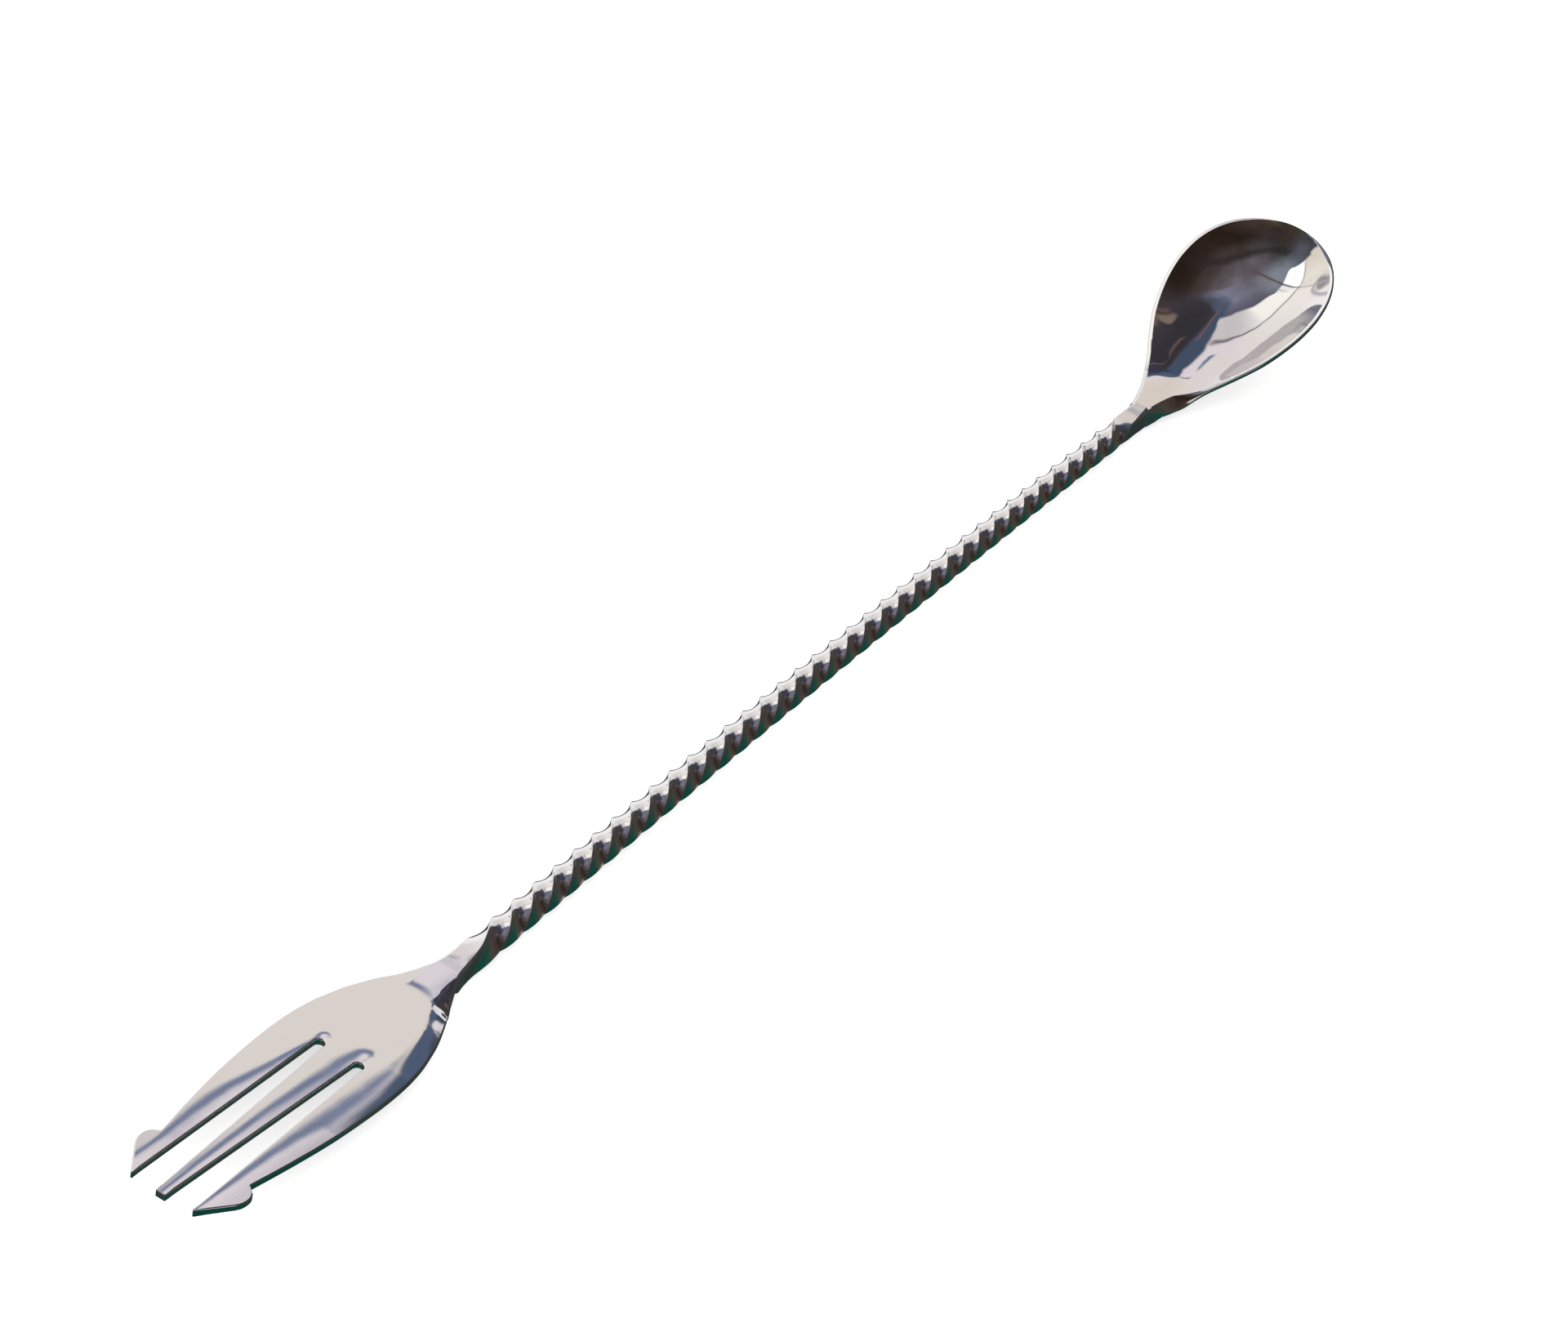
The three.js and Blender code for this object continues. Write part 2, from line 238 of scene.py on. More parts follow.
def rod_section(x, arc_points=7, flat_points=4):
    """Rounded rectangle, anticlockwise seen from +X: points and normals as (y, z)."""
    radius = rod_round(x)
    flat_y, flat_z = float(rod_half_width(x)) - radius, float(rod_half(x)) - radius
    signs = [(1, 1), (-1, 1), (-1, -1), (1, -1)]

    def on_corner(k, normal):
        sy, sz = signs[k % 4]
        return np.array((sy * flat_y + radius * normal[0], sz * flat_z + radius * normal[1]))

    points, normals = [], []
    for k in range(4):
        for a in np.linspace(0, math.pi / 2, arc_points):
            normal = (math.cos(a + k * math.pi / 2), math.sin(a + k * math.pi / 2))
            points.append(on_corner(k, normal))
            normals.append(normal)
        first, last = points[-1], on_corner(k + 1, normal)
        for share in np.linspace(0, 1, flat_points + 2)[1:-1]:
            points.append(first + (last - first) * share)
            normals.append(normal)
    return np.array(points), np.array(normals)


def rod_ring(x):
    points, _ = rod_section(x)
    y, z = rotate(points[:, 0], points[:, 1], float(turn(x)))
    return place(x, y, rod_z(x) + z)


def rod_rings(stations, nudge=1e-3):
    rings, normals = [], []
    for x in stations:
        _, flat = rod_section(x)
        along = rod_ring(x + nudge) - rod_ring(x - nudge)
        y, z = rotate(-flat[:, 1], flat[:, 0], float(turn(x)))
        round_ring = np.stack([0 * y, y, z], -1)
        rings.append(rod_ring(x))
        normals.append(unit(np.cross(round_ring, unit(along))))
    rings, normals = np.array(rings), np.array(normals)
    return rings, face_outward(rings, normals)


def make_rod(name, start, end, stations):
    return make(name, *skin(*rod_rings(np.linspace(start, end, stations))))


# ---- fork ------------------------------------------------------------------------------
SHEET = 0.25
PALM_Z, PALM_SLOPE, PALM_END = 0.217, -0.03226, 1.1
# outline (x, y) of the +Y side, from the neck to the notch behind the barb
FORK_SIDE = [
    (2.45, 0.47), (2.3, 0.51), (2.08, 0.6), (1.81, 0.71), (1.57, 0.825), (1.31, 0.95),
    (1.07, 1.08), (0.81, 1.205), (0.57, 1.32), (0.3, 1.44), (0.06, 1.545), (-0.3, 1.68),
    (-0.7, 1.8), (-1.3, 1.955), (-1.99, 2.06), (-2.67, 2.105), (-3.4, 2.108), (-4.1, 2.08),
    (-4.9, 2.03), (-5.6, 1.965), (-6.2, 1.89), (-6.9, 1.79), (-7.54, 1.69), (-8.1, 1.595),
    (-8.4, 1.545),
]
# outline (x, y) of the barb, from the notch
BARB = [
    (-8.4, 1.545), (-8.45, 1.61), (-8.56, 1.755), (-8.72, 1.84), (-8.92, 1.855), (-9.1, 1.82),
    (-9.26, 1.74),
]
TINE_TIP, CENTRE_TIP = (-10.28, 1.03), (-10.28, 0.165)
SLOT_END, SLOT, SLOT_R = -2.47, (0.52, 0.855), 0.16  # closed end x, its y span, its corners
SLOT_CORNER_X = SLOT_END - SLOT_R
MIN_SPACING = 0.004
GRID_X, GRID_Y = -10.25, 2.15  # extent of the grid that fills the two faces
TOP_STEP, BOTTOM_STEP = 0.085, 0.14
EDGE_ARC = 6  # points over the rounding of each edge

# The forging's soft shoulders: along each line the face is tilted by TILT towards the
# edge, and the roll-off takes some length to get there.
TILT = 0.033
ALL_TINES = 9
# tine (-1 at -Y, 0 centre, 1 at +Y): x, y, roll-off length, strength
SHOULDERS = {
    -1: [
        (1.45, -0.62, 0.12, 0), (1.15, -0.66, 0.16, 3), (0.85, -0.76, 0.2, 6.5),
        (0.5, -0.95, 0.26, 6.5), (0.0, -1.25, 0.32, 6), (-0.6, -1.47, 0.4, 5),
        (-1.3, -1.61, 0.5, 3.4), (-2.09, -1.67, 0.62, 2.0), (-3.2, -1.6, 0.66, 1.5),
        (-4.3, -1.47, 0.56, 1.25), (-5.2, -1.35, 0.42, 1), (-6.0, -1.265, 0.28, 1),
        (-7.0, -1.21, 0.2, 1), (-8.05, -1.185, 0.16, 1), (-9.0, -1.17, 0.13, 1),
        (-10.3, -1.12, 0.1, 1),
    ],
    0: [
        (-2.42, -1.05, 0.14, 0), (-2.15, -0.92, 0.2, 0.9), (-1.99, -0.66, 0.3, 1),
        (-2.13, -0.41, 0.34, 1), (-2.55, -0.24, 0.36, 1), (-3.0, -0.14, 0.34, 1),
        (-3.84, -0.07, 0.26, 1), (-5.0, -0.02, 0.19, 1), (-6.58, 0.0, 0.15, 1),
        (-8.0, -0.01, 0.12, 1), (-9.3, -0.03, 0.1, 1), (-10.3, -0.04, 0.09, 1),
    ],
    1: [
        (-2.36, 0.40, 0.1, 0), (-2.22, 0.52, 0.12, 0.7), (-2.17, 0.75, 0.14, 1),
        (-2.32, 0.91, 0.13, 1), (-2.9, 0.955, 0.12, 1), (-3.62, 1.05, 0.15, 1),
        (-4.42, 1.15, 0.19, 1), (-5.3, 1.265, 0.26, 1), (-6.0, 1.365, 0.3, 1),
        (-6.6, 1.42, 0.28, 1), (-7.3, 1.44, 0.2, 1), (-8.0, 1.41, 0.15, 1),
        (-8.7, 1.37, 0.13, 0.95), (-9.3, 1.38, 0.14, 0.85), (-10.3, 1.42, 0.14, 0.8),
    ],
}
# x, half-width of the neck's flat top
neck_ridge = monotone([(0.5, 0.62), (1.2, 0.47), (1.6, 0.42), (2.0, 0.40), (2.45, 0.42)])


def fork_outline():
    """Closed outline, from the neck round the +Y side, the tips and the -Y side."""
    side = [p for p in spline(FORK_SIDE, 0.07) if p[0] > -8.36]
    barb = spline(BARB, 0.05)
    notch = corner(side[-1], BARB[0], barb[4], 0.05)
    barb_edge = [p for p in barb if p[1] > notch[-1][1] + 0.02]
    slot_outer, slot_inner = (SLOT_CORNER_X, SLOT[1]), (SLOT_CORNER_X, SLOT[0])
    tip = corner(barb_edge[-1], TINE_TIP, slot_outer, 0.035)
    shoulder = corner(barb_edge[-3], barb_edge[-1], tip[0], 0.25, 5)
    centre_tip = corner(slot_inner, CENTRE_TIP, (CENTRE_TIP[0], -1), 0.03)

    low, high = SLOT[0] + SLOT_R, SLOT[1] - SLOT_R
    arc = [(SLOT_R * math.sin(a), SLOT_R * math.cos(a)) for a in np.linspace(0, math.pi / 2, 8)]
    slot_end = [(SLOT_CORNER_X + s, high + c) for s, c in arc]
    slot_end += [(SLOT_END, y) for y in np.linspace(high, low, 3)[1:-1]]
    slot_end += [(SLOT_CORNER_X + c, low - s) for s, c in arc]

    half = side + notch + barb_edge[:-1] + shoulder[1:-1]
    half += line(shoulder[-1], tip[0], 0.07) + tip
    half += line(tip[-1], slot_outer, 0.08)[1:] + slot_end
    half += line(slot_inner, centre_tip[0], 0.08)[1:] + centre_tip
    half += line(centre_tip[-1], (CENTRE_TIP[0], 0), 0.06)[1:]
    clean = [half[0]]
    for p in half[1:]:
        if math.dist(p, clean[-1]) > MIN_SPACING:
            clean.append(p)
    half = np.array(clean)
    return np.vstack([half, [[CENTRE_TIP[0], 0.0]], half[::-1] * [1, -1]])


def distance_to(path, points):
    start, step = path[:-1], np.diff(path, axis=0)
    length2 = np.maximum((step ** 2).sum(1), 1e-12)
    best = np.full(len(points), 1e9)
    for i in range(len(start)):
        t = np.clip(((points - start[i]) @ step[i]) / length2[i], 0, 1)
        away = points - (start[i] + t[:, None] * step[i])
        best = np.minimum(best, (away ** 2).sum(1))
    return np.sqrt(best)


def along_path(path, points):
    """Signed distance to the path (positive on its left), its length and strength there."""
    best = np.full(len(points), 1e9)
    signed, length, strength = np.zeros(len(points)), np.ones(len(points)), np.zeros(len(points))
    for a, b in zip(path[:-1], path[1:]):
        step = b[:2] - a[:2]
        t = np.clip(((points - a[:2]) @ step) / max(step @ step, 1e-12), 0, 1)
        away = points - (a[:2] + t[:, None] * step)
        dist2 = (away ** 2).sum(1)
        side = np.sign(step[0] * away[:, 1] - step[1] * away[:, 0])
        nearer = dist2 < best
        best = np.where(nearer, dist2, best)
        signed = np.where(nearer, np.sqrt(dist2) * side, signed)
        length = np.where(nearer, a[2] + t * (b[2] - a[2]), length)
        strength = np.where(nearer, a[3] + t * (b[3] - a[3]), strength)
    return signed, length, strength


def path_lengths(points):
    return np.r_[0, np.cumsum(np.linalg.norm(np.diff(points, axis=0), axis=1))]


def smooth_path(table):
    table = np.array(table, float)
    fine = np.array(spline([tuple(q[:2]) for q in table], 0.09))
    coarse_at, fine_at = path_lengths(table[:, :2]), path_lengths(fine)
    fine_at = fine_at * coarse_at[-1] / fine_at[-1]
    return np.column_stack([fine] + [np.interp(fine_at, coarse_at, table[:, i]) for i in (2, 3)])


SHOULDER_PATHS = {tine: smooth_path(table) for tine, table in SHOULDERS.items()}


def palm(x):
    return PALM_Z + PALM_SLOPE * x


NECK_RISE = rod_top(FORK_END) - palm(FORK_END)


def fork_base(x, y):
    """Flat palm, then the neck's facet rising to the rod along a soft curved bend."""
    bend = 1.12 + 0.25 * np.clip(y, -1, 0.6) - 0.5 * np.clip(y, -0.95, 0.95) ** 2
    bend_start, length = bend - 0.27, 0.6

    def soft(s):
        return np.where(s < 0, 0, np.where(s < length, s * s / (2 * length), s - length / 2))

    return palm(x) + NECK_RISE * soft(x - bend_start) / soft(FORK_END - bend_start)


def roll_off(u, knee=1.4, settle=0.5):
    """Integral of a slope that grows as u up to the knee, then settles past it."""
    over = np.maximum(0, u - knee)
    beyond = knee * knee / 2 + knee * over
    beyond = beyond + settle * (over - settle * (1 - np.exp(-over / settle)))
    return np.where(u <= 0, 0, np.where(u < knee, u * u / 2, beyond))


def fork_top(x, y):
    points = np.stack([x, y], -1)
    z = fork_base(x, y)
    slot_y = np.interp(x, [CENTRE_TIP[0], SLOT_CORNER_X], [CENTRE_TIP[1], SLOT[0]])
    tine = np.where(np.abs(y) < slot_y + 0.1, 0, np.sign(y))
    tine = np.where(x > SLOT_END - 0.02, ALL_TINES, tine)
    for which, path in SHOULDER_PATHS.items():
        on = (tine == ALL_TINES) | (tine == which)
        signed, length, strength = along_path(path, points[on])
        z[on] -= TILT * strength * length * roll_off(1 + signed / length)
    # the neck's flanks fall away from its flat top, more steeply at -Y
    over = np.maximum(0, np.abs(y) - neck_ridge(x))
    fall = np.where(y < 0, 0.42, 0.1) * np.where(over < 0.06, over ** 2 / 0.12, over - 0.03)
    return z - fall * ease(0.7, 1.25, x) * (1 - ease(2.15, 2.45, x))


def fork_bottom(x, y):
    """Parallel to the palm, thickening to the rod along a keel under the neck."""
    keel_half = 0.34
    extra = (2 * rod_half(FORK_END) - SHEET) * ease(0.9, 2.35, x)
    keel = 1 - ease(0.75, 1.5, np.abs(y) / keel_half) * (1 - ease(1.95, 2.45, x))
    rise = NECK_RISE * np.clip((x - PALM_END) / (FORK_END - PALM_END), 0, 1)
    return palm(x) + rise - SHEET - extra * keel


def heights(surface, xy, nudge=4e-3):
    """Heights and upward normals of a surface at points xy."""
    x, y = xy[:, 0], xy[:, 1]
    z = surface(x, y)
    slope_x = (surface(x + nudge, y) - surface(x - nudge, y)) / (2 * nudge)
    slope_y = (surface(x, y + nudge) - surface(x, y - nudge)) / (2 * nudge)
    return z, unit(np.stack([-slope_x, -slope_y, np.ones_like(z)], -1))


def points_inside(outline, step):
    """Staggered grid points inside the outline and half a step clear of it."""
    xs, ys = np.arange(GRID_X, FORK_END, step), np.arange(-GRID_Y, GRID_Y, step)
    grid = [(x + (0.5 * step if i % 2 else 0), y) for i, y in enumerate(ys) for x in xs]
    grid = np.array(grid)
    inside = np.zeros(len(grid), bool)
    for (x0, y0), (x1, y1) in zip(outline, np.roll(outline, -1, 0)):
        if y0 == y1:
            continue
        crosses = (y0 > grid[:, 1]) != (y1 > grid[:, 1])
        inside ^= crosses & (grid[:, 0] < (x1 - x0) * (grid[:, 1] - y0) / (y1 - y0) + x0)
    closed = np.vstack([outline, outline[:1]])
    return grid[inside & (distance_to(closed, grid) > step * 0.5)]


def outline_normals(outline):
    """Outward normals and the mitre lengths at them; material is on the left."""
    ahead = np.roll(outline, -1, 0) - outline
    ahead[-1] = ahead[-2]
    behind = np.roll(ahead, 1, 0)
    behind[0] = ahead[0]
    out_behind, out_ahead = (unit(np.stack([v[:, 1], -v[:, 0]], -1)) for v in (behind, ahead))
    out = unit(out_behind + out_ahead)
    out[0], out[-1] = (0, 1), (0, -1)
    return out, 1 / np.maximum(0.5, (out * out_behind).sum(1))


def fork_mesh():
    outline = fork_outline()
    n = len(outline)
    out, mitre = outline_normals(outline)
    radius = np.interp(
        outline[:, 0], [-10.15, -9.9, 0.8, FORK_END], [0.024, 0.045, 0.045, rod_round(FORK_END)])
    inset = outline - out * (mitre * radius)[:, None]
    top_z, top_normal = heights(fork_top, inset)
    top_tilt = np.concatenate([top_normal[:, :2], np.zeros((n, 1))], 1)
    bottom_z = fork_bottom(inset[:, 0], inset[:, 1])
    arc = np.linspace(math.pi / 2, 0, EDGE_ARC)

    def edge_row(a, z, up):
        xy = outline - out * (mitre * radius * (1 - math.cos(a)))[:, None]
        normal = np.concatenate([out * math.cos(a), np.full((n, 1), up * math.sin(a))], 1)
        return np.concatenate([xy, z[:, None]], 1), normal

    rows, normals = [], []
    for a in arc:  # from the top face down to the wall
        row, normal = edge_row(a, top_z - radius * (1 - math.sin(a)), 1)
        rows.append(row)
        normals.append(unit(normal + top_tilt * math.sin(a)))
    wall_top = rows[-1][:, 2]
    for a in arc[::-1]:  # from the wall to the underside
        z = np.minimum(bottom_z + radius * (1 - math.sin(a)), wall_top - 0.02)
        row, normal = edge_row(a, z, -1)
        rows.append(row)
        normals.append(unit(normal))
    count = len(rows)
    verts, normals = [np.array(rows).reshape(-1, 3)], [np.array(normals).reshape(-1, 3)]
    faces = []
    for j in range(count - 1):
        for i in range(n - 1):
            faces.append((j * n + i, (j + 1) * n + i, (j + 1) * n + i + 1, j * n + i + 1))

    base = count * n
    for surface, row, step, up in (
        (fork_top, 0, TOP_STEP, 1), (fork_bottom, count - 1, BOTTOM_STEP, -1),
    ):
        points = points_inside(inset, step)
        flat = [Vector(map(float, p)) for p in np.vstack([inset, points])]
        _, _, triangles, sources, _, _ = delaunay_2d_cdt(flat, [], [list(range(n))], 1, 1e-7)
        z, normal = heights(surface, points)
        verts.append(np.concatenate([points, z[:, None]], 1))
        normals.append(up * normal)
        for triangle in triangles:
            given = [sources[i][0] for i in triangle]
            ids = [row * n + s if s < n else base + s - n for s in given]
            faces.append(tuple(ids[::up]))
        base += len(points)
    neck_cap = [len(faces)]
    ring = [j * n for j in range(count)] + [j * n + n - 1 for j in reversed(range(count))]
    faces.append(tuple(reversed(ring)))
    return place(*np.vstack(verts).T), faces, np.vstack(normals), neck_cap


# ---- bowl ------------------------------------------------------------------------------
RIM_SLOPE, RIM_X, RIM_Z, RIM_BEND = 0.41, 38.0, -2.533, 0.8  # rim plane and its bend to the neck
NECK_TOP = rod_top(BOWL_START)
BEND_X = RIM_X + (NECK_TOP - RIM_Z) / RIM_SLOPE
BOWL_DEPTH, BOWL_HALF, BOWL_SHEET = 1.075, 2.895, 0.2
NECK_POWER = 1.9
LAND = 0.15  # width of the flat ground round the mouth
BOWL_STATIONS, BOWL_COLUMNS = 240, 40
# outline: distance along the rim from the bend, half-width; last at the tip
BOWL_SIDE = [
    (42.55, 0.43), (42.88, 0.47), (43.39, 0.6), (43.96, 0.79), (44.42, 0.975), (44.83, 1.17),
    (45.14, 1.315), (45.47, 1.485), (45.82, 1.685), (46.22, 1.915), (46.6, 2.12), (46.99, 2.31),
    (47.4, 2.47), (47.83, 2.612), (48.31, 2.741), (48.87, 2.845), (49.5, 2.895), (50.21, 2.841),
    (50.6, 2.75), (50.955, 2.621), (51.307, 2.434), (51.631, 2.194), (51.914, 1.904),
    (52.148, 1.571), (52.33, 1.205), (52.457, 0.816), (52.533, 0.411), (52.558, 0.0),
]
PAST_TIP = (52.533, -0.411)
# slope across the hollow, 0 at the middle to 1 at the mouth, easing off past the knee
CUP_KNEE, CUP_RISE, CUP_POWER, CUP_KNEE_SLOPE, CUP_END_SLOPE = 0.7, 2.2, 1.2, 2.46, 0.5
CUP_T = np.linspace(0, 1, 401)
past_knee = CUP_T - CUP_KNEE
CUP_S = np.where(
    CUP_T < CUP_KNEE,
    CUP_RISE * CUP_T ** CUP_POWER,
    CUP_RISE * CUP_KNEE ** CUP_POWER + CUP_KNEE_SLOPE * past_knee
    - (CUP_KNEE_SLOPE - CUP_END_SLOPE) * past_knee ** 2 / (2 * (1 - CUP_KNEE)),
)
CUP_H = np.r_[0, np.cumsum((CUP_S[1:] + CUP_S[:-1]) / 2) * (CUP_T[1] - CUP_T[0])]


def bowl_edge():
    """Even stations along the outline: x, half-width, and the ground's width across."""
    outline = np.array(spline(BOWL_SIDE + [PAST_TIP], 0.06))
    outline = outline[: np.argmax(outline[:, 1] < 1e-4) + 1]
    at = path_lengths(outline)
    stations = np.linspace(0, at[-1], BOWL_STATIONS)
    x, half = (np.interp(stations, at, outline[:, i]) for i in (0, 1))
    # the ground is wider across where the outline turns over the blunt tip
    across = np.maximum(np.abs(np.gradient(x, stations)), 0.6)
    land = np.minimum(LAND * ease(43.4, 46.0, x) / across, np.maximum(half * 0.25, 1e-4))
    return x, half, land


EDGE_X, EDGE_HALF, EDGE_LAND = bowl_edge()


def spine(x):
    """Height and tilt of the rim plane, flat at the neck and then rising at RIM_SLOPE."""
    s = np.clip(x - (BEND_X - RIM_BEND), 0, 2 * RIM_BEND)
    over = np.maximum(0, x - (BEND_X + RIM_BEND))
    z = NECK_TOP + RIM_SLOPE * s * s / (4 * RIM_BEND) + RIM_SLOPE * over
    return z, np.arctan(RIM_SLOPE * s / (2 * RIM_BEND))


def bowl_rows(share):
    """y, hollow and underside over the rim plane, at a share (-1..1) of the half-width."""
    x, half = EDGE_X, EDGE_HALF
    y = share * half
    power = 2 + (NECK_POWER - 2) * (1 - ease(48.2, 50.0, x))
    depth = BOWL_DEPTH * (half / BOWL_HALF) ** power * ease(43.3, 45.4, x)
    mouth = np.maximum(half - EDGE_LAND, 1e-6)
    t = np.clip(np.abs(y) / mouth, 0, 1)
    hollow = -depth * (1 - np.interp(t, CUP_T, CUP_H) / CUP_H[-1])
    slope = depth * np.interp(t, CUP_T, CUP_S) / CUP_H[-1] / mouth
    # the neck is thicker along a keel under its middle
    extra = (2 * rod_half(BOWL_START) - BOWL_SHEET) * (1 - ease(42.7, 46.4, x))
    keel_half = np.interp(x, [42.55, 43.1, 46.6], [0.6, 0.38, 0.34])
    keel = 1 - ease(0.6, 1.5, np.abs(y) / keel_half)
    keel = np.where(x < 42.75, 1 + (keel - 1) * ease(42.55, 42.75, x), keel)
    sheet = BOWL_SHEET * np.sqrt(1 + slope ** 2)
    return y, hollow, hollow - sheet - np.maximum(0, extra) * keel


# square-cut edge of the mouth, in shares (across, up) of lip and drop: flat, a small
# radius, a short wall
EDGE_CUT = [(0.0, 0.0), (0.035, 0.004), (0.12, 0.01), (0.35, 0.02), (0.6, 0.02), (0.74, 0.0)]
EDGE_CUT += [
    (0.74 + 0.26 * math.sin(t), -0.26 * (1 - math.cos(t)))
    for t in np.linspace(0.35, math.pi / 2, 5)
]
EDGE_CUT += [(1.0, -0.55), (1.0, -0.8), (0.96, -0.95), (0.86, -1.04)]


def bowl_side(sign, lip, drop, cap, bevel):
    """Share of the half-width the hollow takes, and the edge's columns as (|y|, height)."""
    square = ease(43.3, 45.2, EDGE_X)  # how far the edge has turned square to the sheet
    lip_here = np.minimum(lip + bevel * 1.15, np.maximum(cap, lip))
    drop_here = drop + bevel * 1.1
    inner = EDGE_HALF - lip_here
    share = np.where(EDGE_HALF > 1e-6, inner / np.maximum(EDGE_HALF, 1e-6), 1)
    _, hollow, under = bowl_rows(share)
    low = np.minimum(under + drop, hollow - drop_here - 0.02)
    bevelled = ease(0.0, 0.2, bevel)
    squared = square * (1 - bevelled)
    lean = -0.12 * sign
    last = len(EDGE_CUT) - 1
    upper = len(EDGE_CUT) // 2
    columns = []
    for i, (cut_across, cut_up) in enumerate(EDGE_CUT):
        if i < upper:
            f = i / (upper - 1)
            t = math.pi / 2 * (1 - f)
            round_y = lip_here * math.cos(t)
            round_z = hollow - drop_here * (1 - math.sin(t))
            # a bevel: straight across, its two arrises only just broken
            g = min(1.0, max(0.0, (f - 0.08) / 0.84))
            flat_y = lip_here * (0.03 * f + 0.97 * g)
            flat_z = hollow - drop_here * (0.02 * f + 0.98 * g ** 1.15)
            y = round_y * (1 - bevelled) + flat_y * bevelled
            z = round_z * (1 - bevelled) + flat_z * bevelled
        else:
            t = math.pi / 2 * (i - upper) / (last - upper)
            y = lip_here - drop * (1 - math.cos(t)) * 0.9
            z = low - drop * math.sin(t)
        cut_z = hollow + drop * cut_up + lean * lip_here * min(cut_across, 0.8)
        columns.append((
            inner + y * (1 - squared) + lip_here * cut_across * squared,
            z * (1 - squared) + cut_z * squared,
        ))
    return share, columns


def bowl_mesh():
    x = EDGE_X
    cap = np.maximum(EDGE_HALF * 0.45, 1e-4)
    start = rod_round(BOWL_START)
    lip = np.minimum(np.interp(x, [42.55, 44, 46], [start, 0.15, LAND]), cap)
    lip = np.where(x > 46, EDGE_LAND, lip)
    drop = np.minimum(np.interp(x, [42.55, 44, 46], [start, 0.13, 0.17]), cap)
    # the neck's -Y flank is worked down to a wide bevel that dies out into the rim
    bevel = 0.25 * ease(42.6, 43.5, x) * (1 - ease(43.5, 45.5, x))
    share_pos, edge_pos = bowl_side(1, lip, drop, cap, 0 * bevel)
    share_neg, edge_neg = bowl_side(-1, lip, drop, cap, bevel)

    def rows(u):
        return bowl_rows(u * (share_pos if u > 0 else share_neg))

    inner = np.sin(np.linspace(-1, 1, BOWL_COLUMNS + 1) * math.pi / 2)[1:-1]
    ring = edge_pos[::-1]
    ring += [rows(u)[:2] for u in inner[::-1]]
    ring += [(-y, height) for y, height in edge_neg]
    flank_z = edge_neg[-1][1]
    flank = np.minimum(1, bevel / 0.05)
    for u in inner:
        y, _, under = rows(u)
        if u < 0:  # the thicker -Y flank runs into the keel
            under = np.minimum(under, flank_z * flank + under * (1 - flank))
        ring.append((y, under))
    z, tilt = spine(x)
    rings = np.stack([place(x - h * np.sin(tilt), y, z + h * np.cos(tilt)) for y, h in ring], 1)

    around = np.roll(rings, -1, 1) - np.roll(rings, 1, 1)
    along = np.empty_like(rings)
    along[1:-1] = rings[2:] - rings[:-2]
    along[0] = rings[1] - rings[0]
    along[-1] = rings[-1] - rings[-2]
    normals = face_outward(rings, unit(np.cross(around, along)))
    # the last station has no width: the one before it closes the tip
    return skin(rings[:-1], normals[:-1])


# ---- node graphs -----------------------------------------------------------------------
def linear(r, g, b, gain=1.0):
    """0..255 display colour to linear light."""
    return tuple(
        gain * (((c / 255 + 0.055) / 1.055) ** 2.4 if c > 10 else c / 255 / 12.92)
        for c in (r, g, b)
    )


